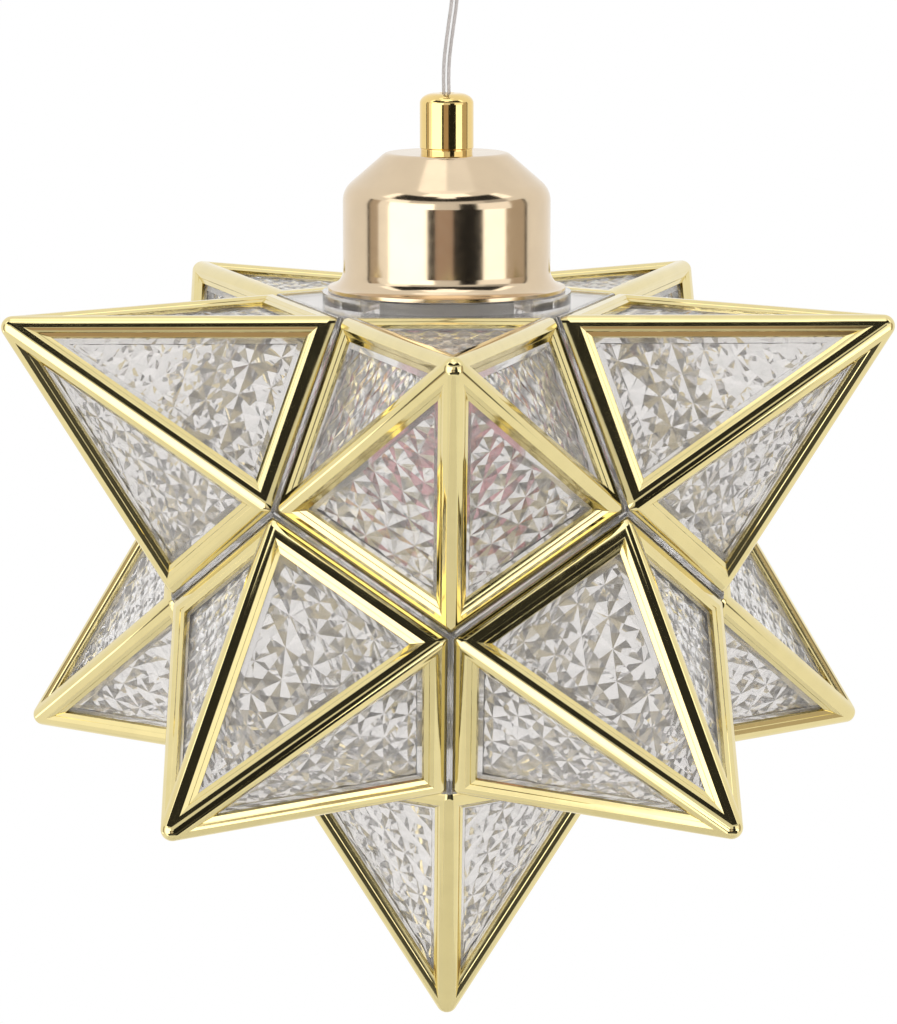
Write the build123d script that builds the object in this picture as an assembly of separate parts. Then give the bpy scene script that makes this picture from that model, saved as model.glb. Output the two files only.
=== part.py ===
from build123d import *

import os
from math import atan, cos, degrees, pi, sin, sqrt, tan

# Moravian star pendant: eleven hollow clear points with pale gold edge frames round a
# clear top plate, hung by a turned cup and a thin clear cord from a ceiling canopy.
# Millimetres. +Z is up, the origin is at the ceiling, between the two bracket slots.
# A viewer in front of the star looks along +Y, with +X to the right.

# ---------------------------------------------------------------- driving sizes
EDGE = 60.5               # edge of the dodecahedron that the points stand on
EDGE_ROUNDING = 3.2       # outer rounding of a gold slant edge, and of the tip
BAND_WIDTH = 2.2          # outer band of a gold bar, from the sharp edge or the seam
STEP_WIDTH = 0.7          # steep wall inside the band
STEP_DEPTH = 1.2
SLOPE_WIDTH = 1.3         # inclined band at the foot of the wall
SLOPE_DEPTH = 0.5
GROOVE_WIDTH = 0.15       # small second wall
GROOVE_DEPTH = 0.3
LIP_WIDTH = 1.05          # thin lip that lies on the clear face
LIP_DEPTH = 0.15
LIP_EDGE = 0.25           # height of the lip's edge above the clear face
SEAM_HALF = 0.85          # half of the clear seam between two gold frames
SEAM_DEPTH = 0.7          # from the gold surface down to the clear seam
CLEAR_WALL = 2.2          # wall of a clear point
PLATE_THICKNESS = 3.2     # clear top plate

RING_RADIUS = 36.0        # low clear ring that the cup stands over
RING_HEIGHT = 2.5
NECK_RADIUS = 27.6        # clear neck that goes up into the cup
NECK_BORE_RADIUS = 25.2
NECK_HEIGHT = 12.0        # above the ring
CUP_SEAT_GAP = 0.3        # between the ring and the cup's flange

CUP_RADIUS = 30.0
CUP_WALL = 1.0
CUP_HEIGHT = 39.7
CUP_FLANGE_RADIUS = 34.4
CUP_FLANGE_THICKNESS = 1.0
CUP_FLARE_HEIGHT = 6.0    # top of the concave flare above the flange's underside
CUP_FLARE_BULGE = 0.3     # how far the flare's middle stands towards its corner
CUP_SHOULDER_HEIGHT = 29.0
CUP_SHOULDER_ROUNDING = 7.0
CUP_TOP_RADIUS = 17.7
CUP_TOP_ROUNDING = 3.0

CLIP_WIDTH = 9.0
CLIP_THICKNESS = 0.5
CLIP_HEIGHT = 10.0
CLIP_COUNT = 3
CLIP_LIFT = 2.0           # above the star's ring
CLIP_PAD_HEIGHT = 4.0     # of the pad that touches the neck, above the clip's foot
CLIP_BEND_HEIGHT = 6.5    # where the clip leaves the cup's wall
CLIP_GAP = 0.3            # between a clip's pad and the neck

GRIP_RADIUS = 7.75
GRIP_HEIGHT = 17.0
GRIP_DOME_WIDTH = 4.3     # of the oval rounding of its top edge
GRIP_DOME_HEIGHT = 2.9
GRIP_FOOT_RADIUS = 7.45
GRIP_FOOT_HEIGHT = 1.1
GRIP_MOUTH_DEPTH = 1.5
GRIP_MOUTH_RADIUS = 2.2
GRIP_THREAD_DEPTH = 11.0

NIPPLE_RADIUS = 5.0       # M10 hollow thread
NIPPLE_BORE_RADIUS = 3.4
NIPPLE_ABOVE = 9.0        # above the cup's top face
NIPPLE_BELOW = 13.0       # below the cup's top face
THREAD_GAP = 0.05
NUT_ACROSS_FLATS = 14.0
NUT_HEIGHT = 3.0
WASHER_RADIUS = 9.0
WASHER_THICKNESS = 0.8

HOLDER_RADIUS = 19.5      # E27 lampholder
HOLDER_WALL = 1.8
HOLDER_CAP_TOP_RADIUS = 11.0
HOLDER_CAP_HEIGHT = 19.0
HOLDER_CAP_SHOULDER = 7.0
HOLDER_SKIRT_HEIGHT = 32.0
HOLDER_RIM_RADIUS = 20.6
HOLDER_RIM_HEIGHT = 2.0
INSERT_GAP = 0.3          # between the contact insert and the skirt's wall
INSERT_HEIGHT = 7.0
SHELL_WALL = 0.4
SHELL_GAP = 0.6           # round the bulb's cap, for the threads
SHELL_HEIGHT = 21.0
SKIRT_MOUTH_GAP = 1.0     # between the skirt's mouth and the screw shell
CONTACT_WIDTH = 5.0
CONTACT_THICKNESS = 0.4
CONTACT_DROP = 3.2
CONTACT_ROOT = 12.0       # of the centre tongue's root from the axis
CONTACT_FLAT = 6.0        # fixed flat of the tongue
CONTACT_SLOPE = 3.0       # length of its slope
CONTACT_TOE = 2.0         # past the axis
SIDE_CONTACT_LENGTH = 5.0
SIDE_CONTACT_GAP = 0.3    # between its end and the screw shell
CONTACT_SCREW_RADIUS = 1.75
CONTACT_SCREW_HEAD_RADIUS = 3.0
CONTACT_SCREW_HEAD_HEIGHT = 1.6
CONTACT_SCREW_LENGTH = 5.0
CONTACT_SCREW_REACH = 9.0  # of each screw from the axis

BULB_RADIUS = 22.5        # G45 globe bulb with an E27 cap
BULB_LENGTH = 74.0
BULB_CAP_RADIUS = 13.2
BULB_CAP_HEIGHT = 20.0
BULB_CAP_WALL = 0.4
BULB_CAP_CHAMFER = 2.6
BULB_BUTTON_RADIUS = 4.6
BULB_BUTTON_HEIGHT = 1.6
BULB_INSULATOR_HEIGHT = 3.0
BULB_NECK_RADIUS = 12.4
BULB_NECK_OVERLAP = 2.0   # of the glass neck in the screw cap
BULB_NECK_LENGTH = 3.0
BULB_NECK_MEET = 50.0     # degrees above the globe's level where the neck meets it
BULB_GLASS_WALL = 0.8
BULB_CONTACT_GAP = 0.3
STEM_RADIUS = 4.0
STEM_END_RADIUS = 2.4
STEM_HEIGHT = 24.0
STEM_FLARE = 5.0          # height of the stem's flared root
FILAMENT_COUNT = 4
FILAMENT_RADIUS = 0.9
FILAMENT_REACH = 7.5
FILAMENT_LENGTH = 20.0
FILAMENT_DROP = 2.0       # of the filaments' middle below the globe's
FILAMENT_ARM_RADIUS = 0.5
FILAMENT_ARM_RISE = 1.5   # of the arms above the stem's end

CORD_RADIUS = 1.25
CORD_GAP = 0.2            # round the cord in its bush and its grip
CORD_END_GAP = 1.0        # between a clamped cord end and the end of what clamps it
WIRE_RADIUS = 0.7
WIRE_PITCH = 1.5
WIRE_BEND = 1.2
WIRE_LEAD = 3.0           # straight run at a wire's ends

CANOPY_RADIUS = 50.0
CANOPY_DEPTH = 25.0
CANOPY_WALL = 1.0
CANOPY_ROUNDING = 9.0
BUSH_DROP = 6.0
BUSH_RADIUS = 7.0
BUSH_THREAD_RADIUS = 5.0
BUSH_ABOVE = 8.0
BUSH_MOUTH_DEPTH = 3.0
BUSH_MOUTH_RADIUS = 3.6
BUSH_CHAMFER = 1.5
BRACKET_GAP = 2.0         # between a bracket lug and the canopy's wall
BRACKET_WIDTH = 18.0
BRACKET_THICKNESS = 1.5
BRACKET_LUG = 12.0
SLOT_SPACING = 60.0
SLOT_LENGTH = 14.0
SLOT_WIDTH = 5.0
SIDE_SCREW_RADIUS = 1.5
SIDE_SCREW_HEAD_RADIUS = 3.0
SIDE_SCREW_HEAD_HEIGHT = 2.0
SIDE_SCREW_LENGTH = 7.0
SIDE_SCREW_GAP = 0.15     # under each head
SIDE_SCREW_LEVEL = 7.0    # below the ceiling
BLOCK_SIZE = (22.0, 12.0, 9.0)
BLOCK_SCREW_RADIUS = 1.4
BLOCK_SCREW_LENGTH = 2.6
BLOCK_SCREW_DEPTH = 0.6   # of each screw's slot end inside the block
BLOCK_WIRE_REACH = 3.5    # of the wires in front of the block
BLOCK_WIRE_DROP = 6.0     # of their lower bend below the block's bores

# Free cord from the pivot in the bush down to the pivot in the grip: x, y and the
# distance below the upper pivot, chosen by hand to lean as it hangs.
FREE_CORD = [
    (0.0, 0.0, 0.0),
    (0.15, 0.0, 6.0),
    (1.9, 0.15, 15.0),
    (2.6, 0.2, 25.0),
    (0.8, 0.1, 37.0),
    (-0.4, 0.0, 47.5),
    (0.0, 0.0, 55.0),
]

# ---------------------------------------------------------------- worked-out sizes
SIDES = 5
FACE_RADIUS = EDGE / (2 * sin(pi / SIDES))
FACE_INRADIUS = EDGE / (2 * tan(pi / SIDES))
INRADIUS = EDGE / 2 * sqrt((25 + 11 * sqrt(5)) / 10)
POINT_HEIGHT = FACE_INRADIUS * 2
SHARP_TIP = INRADIUS + POINT_HEIGHT
SLANT_HEIGHT = sqrt(POINT_HEIGHT ** 2 + FACE_INRADIUS ** 2)
FACE_LEAN = atan(FACE_INRADIUS / POINT_HEIGHT)     # of a slant face from the point's axis
APEX_HALF = atan(EDGE / 2 / SLANT_HEIGHT)          # half of a slant face's sharp angle
MITRE_LEAN = atan(FACE_INRADIUS / INRADIUS)        # of a seam plane from the point's axis
RING_TILT = atan(0.5)                              # rise of the upper ring of points
WINDOW_LEVELS = [                                  # (width, depth) of each part of a bar
    (STEP_WIDTH, STEP_DEPTH),
    (SLOPE_WIDTH, SLOPE_DEPTH),
    (GROOVE_WIDTH, GROOVE_DEPTH),
    (LIP_WIDTH, LIP_DEPTH),
]
FRAME_DEPTH = sum(depth for width, depth in WINDOW_LEVELS) + LIP_EDGE
CLEAR_DEPTH = FRAME_DEPTH + CLEAR_WALL
INSERT_RADIUS = HOLDER_RADIUS - HOLDER_WALL - INSERT_GAP
SHELL_RADIUS = BULB_CAP_RADIUS + SHELL_GAP + SHELL_WALL
BRACKET_HALF = CANOPY_RADIUS - CANOPY_WALL - BRACKET_GAP

Z_CANOPY = -CANOPY_DEPTH
Z_BUSH = Z_CANOPY - BUSH_DROP
Z_UPPER_PIVOT = Z_BUSH + BUSH_MOUTH_DEPTH
Z_LOWER_PIVOT = Z_UPPER_PIVOT - FREE_CORD[-1][2]
Z_GRIP_TOP = Z_LOWER_PIVOT + GRIP_MOUTH_DEPTH
Z_CUP_TOP = Z_GRIP_TOP - GRIP_HEIGHT
Z_FLANGE = Z_CUP_TOP - CUP_HEIGHT
Z_RING_TOP = Z_FLANGE - CUP_SEAT_GAP
Z_TOP_PLANE = Z_RING_TOP - RING_HEIGHT
Z_STAR = Z_TOP_PLANE - INRADIUS
Z_HOLDER_TOP = Z_CUP_TOP - CUP_WALL - WASHER_THICKNESS - NUT_HEIGHT
Z_HOLDER_JOINT = Z_HOLDER_TOP - HOLDER_CAP_HEIGHT
Z_HOLDER_BOTTOM = Z_HOLDER_JOINT - HOLDER_SKIRT_HEIGHT
Z_INSERT = Z_HOLDER_JOINT - INSERT_HEIGHT
Z_BULB_TOP = Z_INSERT - CONTACT_DROP - CONTACT_THICKNESS - BULB_CONTACT_GAP
Z_BULB_CAP = Z_BULB_TOP - BULB_BUTTON_HEIGHT - BULB_INSULATOR_HEIGHT
Z_BULB_GLASS = Z_BULB_CAP - BULB_CAP_HEIGHT
Z_BULB_CENTRE = Z_BULB_TOP - BULB_LENGTH + BULB_RADIUS
Z_STEM_TOP = Z_BULB_GLASS + BULB_NECK_OVERLAP

# name, azimuth to the right of the viewer's side, and ring (1 upper, -1 lower)
POINT_PLACES = [
    ("upper_front", 0, 1),
    ("upper_right", 72, 1),
    ("upper_rear_right", 144, 1),
    ("upper_rear_left", 216, 1),
    ("upper_left", 288, 1),
    ("lower_front_right", 36, -1),
    ("lower_right", 108, -1),
    ("lower_rear", 180, -1),
    ("lower_left", 252, -1),
    ("lower_front_left", 324, -1),
]


# ---------------------------------------------------------------- general helpers
def polyhedron(bottom, top):
    """Closed solid between two rings of as many corners, or from a ring to one tip."""
    bottom = [Vector(*corner) for corner in bottom]
    top = [Vector(*corner) for corner in top]
    count = len(bottom)
    faces = [Face(Wire.make_polygon(bottom))]
    for index in range(count):
        following = (index + 1) % count
        if len(top) == 1:
            corners = [bottom[index], bottom[following], top[0]]
        else:
            corners = [bottom[index], bottom[following], top[following], top[index]]
        faces.append(Face(Wire.make_polygon(corners)))
    if len(top) > 1:
        faces.append(Face(Wire.make_polygon(top)))
    solid = Solid(Shell(faces))
    if solid.volume < 0:
        solid = Solid(Shell([-face for face in faces]))
    return solid


def ring(radius, height, count=SIDES):
    """Corners of a regular polygon round the axis, one of them on +X."""
    step = 2 * pi / count
    return [(radius * cos(k * step), radius * sin(k * step), height) for k in range(count)]


def turned(*corners):
    """Solid of revolution about Z through (radius, height) corners."""
    outline = Polyline(*[(radius, 0, height) for radius, height in corners], close=True)
    return revolve(make_face(outline), Axis.Z)


def tube(outer, inner, bottom, top):
    """Round tube or, with no inner radius, a rod about Z."""
    return turned((inner, bottom), (outer, bottom), (outer, top), (inner, top))


def rod(radius, start, end):
    """Round rod between two places."""
    line = Line(start, end)
    return sweep(Plane(start, z_dir=line % 0) * Circle(radius), line)


def bent_rod(radius, corners, bend):
    """Round rod along straight runs with one bend radius."""
    path = FilletPolyline(*corners, radius=bend)
    return sweep(Plane(path @ 0, z_dir=path % 0) * Circle(radius), path)


# ---------------------------------------------------------------- points of the star
def point_cone(depth):
    """Sharp five-sided point whose faces lie `depth` inside the gold surface."""
    tip = SHARP_TIP - depth / sin(FACE_LEAN)
    reach = FACE_RADIUS * tip / POINT_HEIGHT
    return polyhedron(ring(reach, 0), [(0, 0, tip)])


def seam_cone(inset):
    """Five-sided cone from the star's centre through the seams, moved in by `inset`."""
    start = inset / sin(MITRE_LEAN)
    height = SHARP_TIP
    reach = FACE_RADIUS * height / INRADIUS
    return polyhedron(ring(reach, height + start), [(0, 0, start)])


def blunt_point():
    """Outer form of a gold frame: a sharp core grown by the rounding of its edges and tip."""
    foot = INRADIUS - EDGE / 4
    core_tip = SHARP_TIP - EDGE_ROUNDING / sin(FACE_LEAN)
    reach = (core_tip - foot) * FACE_RADIUS / POINT_HEIGHT
    core = polyhedron(ring(reach, foot), [(0, 0, core_tip)])
    return offset(core, amount=EDGE_ROUNDING, kind=Kind.ARC)


def window_triangle(inset, depth):
    """Corners of a window in the slant face over the base side that looks along +X."""
    foot = inset + SEAM_HALF / cos(FACE_LEAN)
    apex = SLANT_HEIGHT - inset / sin(APEX_HALF)
    half = (apex - foot) * tan(APEX_HALF)
    corners = []
    for across, rise in ((-half, foot), (half, foot), (0, apex)):
        out = FACE_INRADIUS - rise * sin(FACE_LEAN) - depth * cos(FACE_LEAN)
        up = INRADIUS + rise * cos(FACE_LEAN) - depth * sin(FACE_LEAN)
        corners.append((out, across, up))
    return corners


def window_cutter():
    """Stepped cutter of one window: wall, inclined band, second wall, lip, then through."""
    inset = BAND_WIDTH
    depth = 0.0
    above = window_triangle(inset, -FRAME_DEPTH)
    cutter = polyhedron(window_triangle(inset, depth), above)
    for width, drop in WINDOW_LEVELS:
        above = window_triangle(inset, depth)
        inset += width
        depth += drop
        cutter += polyhedron(window_triangle(inset, depth), above)
    through = window_triangle(inset, FRAME_DEPTH + CLEAR_WALL / 2)
    return cutter + polyhedron(through, window_triangle(inset, depth))


def gold_frame():
    """Gold frame of one point: five mitred triangles with stepped windows."""
    frame = (blunt_point() & seam_cone(SEAM_HALF)) - point_cone(FRAME_DEPTH)
    cutter = window_cutter()
    for side in range(SIDES):
        frame -= Rot(0, 0, (side + 0.5) * 360 / SIDES) * cutter
    return frame


def clear_point():
    """Hollow clear point with a raised seam rib round its mitred foot."""
    rib = (point_cone(SEAM_DEPTH) & seam_cone(0)) - seam_cone(SEAM_HALF)
    body = point_cone(FRAME_DEPTH) & seam_cone(0)
    return (body + rib) - point_cone(CLEAR_DEPTH)


def point_plane(azimuth, ring_side):
    """Place of a point: its axis outwards and one base corner on its local X."""
    turn = azimuth * pi / 180
    level = Vector(sin(turn), -cos(turn), 0)
    up = Vector(0, 0, ring_side)
    outwards = level * cos(RING_TILT) + up * sin(RING_TILT)
    corner = level * sin(RING_TILT) - up * cos(RING_TILT)
    return Plane((0, 0, Z_STAR), x_dir=corner, z_dir=outwards)


def bottom_plane():
    """Place of the point that looks straight down."""
    return Plane((0, 0, Z_STAR), x_dir=(0, -1, 0), z_dir=(0, 0, -1))


def top_plate():
    """Clear five-sided top plate with the low ring and the neck that the cup takes."""
    top = INRADIUS - SEAM_DEPTH
    bottom = INRADIUS - PLATE_THICKNESS - SEAM_DEPTH
    slope = FACE_RADIUS / INRADIUS
    plate = polyhedron(ring(bottom * slope, bottom), ring(top * slope, top))
    collar = tube(RING_RADIUS, NECK_BORE_RADIUS, bottom, INRADIUS + RING_HEIGHT)
    neck_top = INRADIUS + RING_HEIGHT + NECK_HEIGHT
    neck = tube(NECK_RADIUS, NECK_BORE_RADIUS, bottom, neck_top)
    bore = Pos(0, 0, bottom) * extrude(Circle(NECK_BORE_RADIUS), NECK_HEIGHT * 3)
    plate = plate + collar + neck - bore
    return Plane((0, 0, Z_STAR), x_dir=(0, 1, 0), z_dir=(0, 0, 1)) * plate


# ---------------------------------------------------------------- cup and cord grip
def cup_outline(inset):
    """Cup's wall from the top of its flare over the rounded shoulder to the nipple's hole."""
    corners = [
        (CUP_RADIUS - inset, 0, CUP_FLARE_HEIGHT),
        (CUP_RADIUS - inset, 0, CUP_SHOULDER_HEIGHT),
        (CUP_TOP_RADIUS - inset / 2, 0, CUP_HEIGHT - inset),
        (NIPPLE_RADIUS + THREAD_GAP, 0, CUP_HEIGHT - inset),
    ]
    return FilletPolyline(*corners, radius=[CUP_SHOULDER_ROUNDING - inset, CUP_TOP_ROUNDING - inset])


def socket_cup():
    """Turned cup: flat flange, concave flare, cylinder, rounded shoulder, cone and flat top."""
    outer = cup_outline(0)
    inner = cup_outline(CUP_WALL)
    flare_low = (CUP_FLANGE_RADIUS, 0, CUP_FLANGE_THICKNESS)
    flare_middle = (
        CUP_RADIUS + (CUP_FLANGE_RADIUS - CUP_RADIUS) * CUP_FLARE_BULGE,
        0,
        CUP_FLANGE_THICKNESS + (CUP_FLARE_HEIGHT - CUP_FLANGE_THICKNESS) * CUP_FLARE_BULGE,
    )
    lines = [
        ThreePointArc(flare_low, flare_middle, outer @ 0),
        outer,
        Line(outer @ 1, inner @ 1),
        inner,
        Polyline(inner @ 0, (CUP_RADIUS - CUP_WALL, 0, 0), (CUP_FLANGE_RADIUS, 0, 0), flare_low),
    ]
    return Pos(0, 0, Z_FLANGE) * revolve(make_face(lines), Axis.Z)


def neck_clips():
    """Three leaf springs inside the cup that hold the star's neck."""
    root = CUP_RADIUS - CUP_WALL
    low = Z_RING_TOP + CLIP_LIFT
    face = root - CLIP_THICKNESS
    outline = Polyline(
        (root, 0, low),
        (root, 0, low + CLIP_HEIGHT),
        (face, 0, low + CLIP_HEIGHT),
        (face, 0, low + CLIP_BEND_HEIGHT),
        (NECK_RADIUS + CLIP_GAP, 0, low + CLIP_PAD_HEIGHT),
        (face, 0, low),
        close=True,
    )
    blade = revolve(make_face(outline), Axis.Z, degrees(CLIP_WIDTH / root))
    return Compound([Rot(0, 0, 90 + k * 360 / CLIP_COUNT) * blade for k in range(CLIP_COUNT)])


def cord_grip():
    """Domed brass cord grip screwed on the nipple, with a flared cord mouth and a small foot."""
    bore = CORD_RADIUS + CORD_GAP
    thread = NIPPLE_RADIUS + THREAD_GAP
    entry = GRIP_THREAD_DEPTH
    flat = GRIP_RADIUS - GRIP_DOME_WIDTH
    side_top = GRIP_HEIGHT - GRIP_DOME_HEIGHT
    foot_top = GRIP_FOOT_HEIGHT + GRIP_RADIUS - GRIP_FOOT_RADIUS
    dome = Plane.XZ * EllipticalCenterArc(
        (flat, side_top), GRIP_DOME_WIDTH, GRIP_DOME_HEIGHT, start_angle=0, arc_size=90)
    rest = Polyline(
        dome @ 1, (GRIP_MOUTH_RADIUS, 0, GRIP_HEIGHT), (bore, 0, GRIP_HEIGHT - GRIP_MOUTH_DEPTH),
        (bore, 0, entry), (thread, 0, entry), (thread, 0, 0), (GRIP_FOOT_RADIUS, 0, 0),
        (GRIP_FOOT_RADIUS, 0, GRIP_FOOT_HEIGHT), (GRIP_RADIUS, 0, foot_top), dome @ 0,
    )
    return Pos(0, 0, Z_CUP_TOP) * revolve(make_face([dome, rest]), Axis.Z)


def threaded_nipple():
    """Hollow threaded tube through the cup's top."""
    return tube(NIPPLE_RADIUS, NIPPLE_BORE_RADIUS, Z_CUP_TOP - NIPPLE_BELOW,
                Z_CUP_TOP + NIPPLE_ABOVE)


def hex_nut(bottom, bore):
    """Six-sided nut about Z, with its foot at `bottom`."""
    outline = RegularPolygon(NUT_ACROSS_FLATS / 2, 6, major_radius=False)
    return Pos(0, 0, bottom) * extrude(outline - Circle(bore), NUT_HEIGHT)


def cup_locknut():
    """Nut that clamps the nipple in the cup's top."""
    return hex_nut(Z_HOLDER_TOP, NIPPLE_RADIUS + THREAD_GAP)


def cup_washer():
    """Toothless lock washer between the nut and the cup."""
    bottom = Z_HOLDER_TOP + NUT_HEIGHT
    return tube(WASHER_RADIUS, NIPPLE_RADIUS + THREAD_GAP, bottom, bottom + WASHER_THICKNESS)


# ---------------------------------------------------------------- lampholder
def holder_cap():
    """Upper half of the lampholder, a hollow shouldered cap on the nipple."""
    wall = HOLDER_WALL
    thread = NIPPLE_RADIUS + THREAD_GAP
    top = HOLDER_CAP_HEIGHT
    shoulder = top - HOLDER_CAP_SHOULDER
    cap = turned(
        (HOLDER_RADIUS, 0), (HOLDER_RADIUS, shoulder), (HOLDER_CAP_TOP_RADIUS, top),
        (thread, top), (thread, top - 2 * wall), (HOLDER_CAP_TOP_RADIUS - wall, top - 2 * wall),
        (HOLDER_RADIUS - wall, shoulder - wall), (HOLDER_RADIUS - wall, 0),
    )
    return Pos(0, 0, Z_HOLDER_JOINT) * cap


def holder_skirt():
    """Lower half of the lampholder, a skirt with a rolled rim round the screw shell."""
    wall = HOLDER_WALL
    height = HOLDER_SKIRT_HEIGHT
    skirt = turned(
        (HOLDER_RADIUS, height), (HOLDER_RADIUS, HOLDER_RIM_HEIGHT),
        (HOLDER_RIM_RADIUS, HOLDER_RIM_HEIGHT), (HOLDER_RIM_RADIUS, 0),
        (SHELL_RADIUS + SKIRT_MOUTH_GAP, 0), (SHELL_RADIUS + SKIRT_MOUTH_GAP, wall),
        (HOLDER_RADIUS - wall, wall * 2), (HOLDER_RADIUS - wall, height),
    )
    return Pos(0, 0, Z_HOLDER_BOTTOM) * skirt


def contact_insert():
    """Insulating disc that carries the contacts and the screw shell."""
    disc = tube(INSERT_RADIUS, 0.0, Z_INSERT, Z_HOLDER_JOINT)
    for side in (-1, 1):
        hole = Cylinder(CONTACT_SCREW_RADIUS, CONTACT_SCREW_LENGTH * 2)
        disc -= Pos(side * CONTACT_SCREW_REACH, 0, Z_HOLDER_JOINT) * hole
    return disc


def screw_shell():
    """Thin threaded sleeve that takes the bulb's cap."""
    top = Z_INSERT
    return tube(SHELL_RADIUS, SHELL_RADIUS - SHELL_WALL, top - SHELL_HEIGHT, top)


def centre_contact():
    """Springy centre tongue under the insert."""
    thin = CONTACT_THICKNESS
    bend = CONTACT_FLAT - CONTACT_ROOT
    toe_line = Polyline((-CONTACT_ROOT, 0, 0), (bend, 0, 0), (bend + CONTACT_SLOPE, 0, -CONTACT_DROP),
                        (CONTACT_TOE, 0, -CONTACT_DROP))
    back_line = Pos(0, 0, -thin) * toe_line
    ends = [Line(toe_line @ 0, back_line @ 0), Line(toe_line @ 1, back_line @ 1)]
    tongue = extrude(make_face([toe_line, back_line] + ends), CONTACT_WIDTH / 2, both=True)
    return Pos(0, 0, Z_INSERT) * tongue


def side_contact():
    """Tab beside the centre tongue that feeds the screw shell."""
    tab = Box(SIDE_CONTACT_LENGTH, CONTACT_WIDTH, CONTACT_THICKNESS)
    reach = SHELL_RADIUS - SHELL_WALL - SIDE_CONTACT_GAP - SIDE_CONTACT_LENGTH / 2
    return Pos(reach, 0, Z_INSERT - CONTACT_THICKNESS / 2) * tab


def contact_screws():
    """Two terminal screws in the insert."""
    shapes = []
    for side in (-1, 1):
        shank = Cylinder(CONTACT_SCREW_RADIUS, CONTACT_SCREW_LENGTH)
        head = Cylinder(CONTACT_SCREW_HEAD_RADIUS, CONTACT_SCREW_HEAD_HEIGHT)
        screw = Pos(0, 0, -CONTACT_SCREW_LENGTH / 2) * shank
        screw += Pos(0, 0, CONTACT_SCREW_HEAD_HEIGHT / 2) * head
        shapes.append(Pos(side * CONTACT_SCREW_REACH, 0, Z_HOLDER_JOINT) * screw)
    return Compound(shapes)


def inner_cord():
    """Cord's clamped end from the grip's mouth down through the nipple."""
    top = Z_LOWER_PIVOT - CORD_RADIUS - CORD_GAP
    return tube(CORD_RADIUS, 0.0, Z_CUP_TOP - NIPPLE_BELOW + CORD_END_GAP, top)


def holder_wires():
    """Two bared wires from the cord's end to the terminal screws."""
    start = Z_CUP_TOP - NIPPLE_BELOW + CORD_END_GAP
    end = Z_HOLDER_JOINT + CONTACT_SCREW_HEAD_HEIGHT
    shapes = []
    for side in (-1, 1):
        corners = [
            (side * WIRE_PITCH / 2, 0, start),
            (side * WIRE_PITCH / 2, 0, start - WIRE_LEAD),
            (side * CONTACT_SCREW_REACH, 0, end + WIRE_LEAD),
            (side * CONTACT_SCREW_REACH, 0, end),
        ]
        shapes.append(bent_rod(WIRE_RADIUS, corners, WIRE_BEND))
    return Compound(shapes)


# ---------------------------------------------------------------- bulb
def bulb_contact():
    """Round centre button of the bulb."""
    low = Z_BULB_TOP - BULB_BUTTON_HEIGHT
    return tube(BULB_BUTTON_RADIUS, 0.0, low, Z_BULB_TOP)


def bulb_insulator():
    """Dark glass ring between the button and the screw cap."""
    low = Z_BULB_CAP
    top = Z_BULB_TOP - BULB_BUTTON_HEIGHT
    shoulder = BULB_CAP_RADIUS - BULB_CAP_CHAMFER
    return turned((0, low), (shoulder, low), (BULB_BUTTON_RADIUS + BULB_CAP_WALL, top), (0, top))


def bulb_screw_cap():
    """Threaded metal cap of the bulb, closed at its shoulder."""
    wall = BULB_CAP_WALL
    chamfer = BULB_CAP_CHAMFER
    shoulder = BULB_CAP_RADIUS - chamfer
    return turned(
        (0, Z_BULB_CAP), (0, Z_BULB_CAP - wall), (shoulder - wall, Z_BULB_CAP - wall),
        (BULB_CAP_RADIUS - wall, Z_BULB_CAP - wall - chamfer), (BULB_CAP_RADIUS - wall, Z_BULB_GLASS),
        (BULB_CAP_RADIUS, Z_BULB_GLASS), (BULB_CAP_RADIUS, Z_BULB_CAP - chamfer),
        (shoulder, Z_BULB_CAP),
    )


def bulb_outline(inset):
    """Half outline of the bulb's glass from its neck down to its lowest place."""
    radius = BULB_RADIUS - inset
    neck = BULB_NECK_RADIUS - inset
    meet = BULB_NECK_MEET * pi / 180
    side = (radius * cos(meet), 0, Z_BULB_CENTRE + radius * sin(meet))
    slant = radius * sqrt(0.5)
    globe = ThreePointArc(side, (radius, 0, Z_BULB_CENTRE), (slant, 0, Z_BULB_CENTRE - slant))
    base = ThreePointArc(globe @ 1, (radius * sin(pi / 8), 0, Z_BULB_CENTRE - radius * cos(pi / 8)),
                         (0, 0, Z_BULB_CENTRE - radius))
    throat = Polyline((neck, 0, Z_STEM_TOP), (neck, 0, Z_STEM_TOP - BULB_NECK_LENGTH), side)
    return [throat, globe, base]


def bulb_glass():
    """Hollow clear globe with its neck in the screw cap."""
    solids = []
    for inset in (0.0, BULB_GLASS_WALL):
        lines = bulb_outline(inset)
        closing = Polyline((0, 0, Z_BULB_CENTRE - BULB_RADIUS + inset), (0, 0, Z_STEM_TOP), lines[0] @ 0)
        solids.append(revolve(make_face(lines + [closing]), Axis.Z))
    return solids[0] - solids[1]


def lamp_stem():
    """Glass stem that carries the filaments, flared into the neck."""
    neck = BULB_NECK_RADIUS - BULB_GLASS_WALL
    return turned((0, Z_STEM_TOP), (neck, Z_STEM_TOP), (neck, Z_STEM_TOP - STEM_FLARE / 3),
                  (STEM_RADIUS, Z_STEM_TOP - STEM_FLARE),
                  (STEM_END_RADIUS, Z_STEM_TOP - STEM_HEIGHT), (0, Z_STEM_TOP - STEM_HEIGHT))


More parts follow.
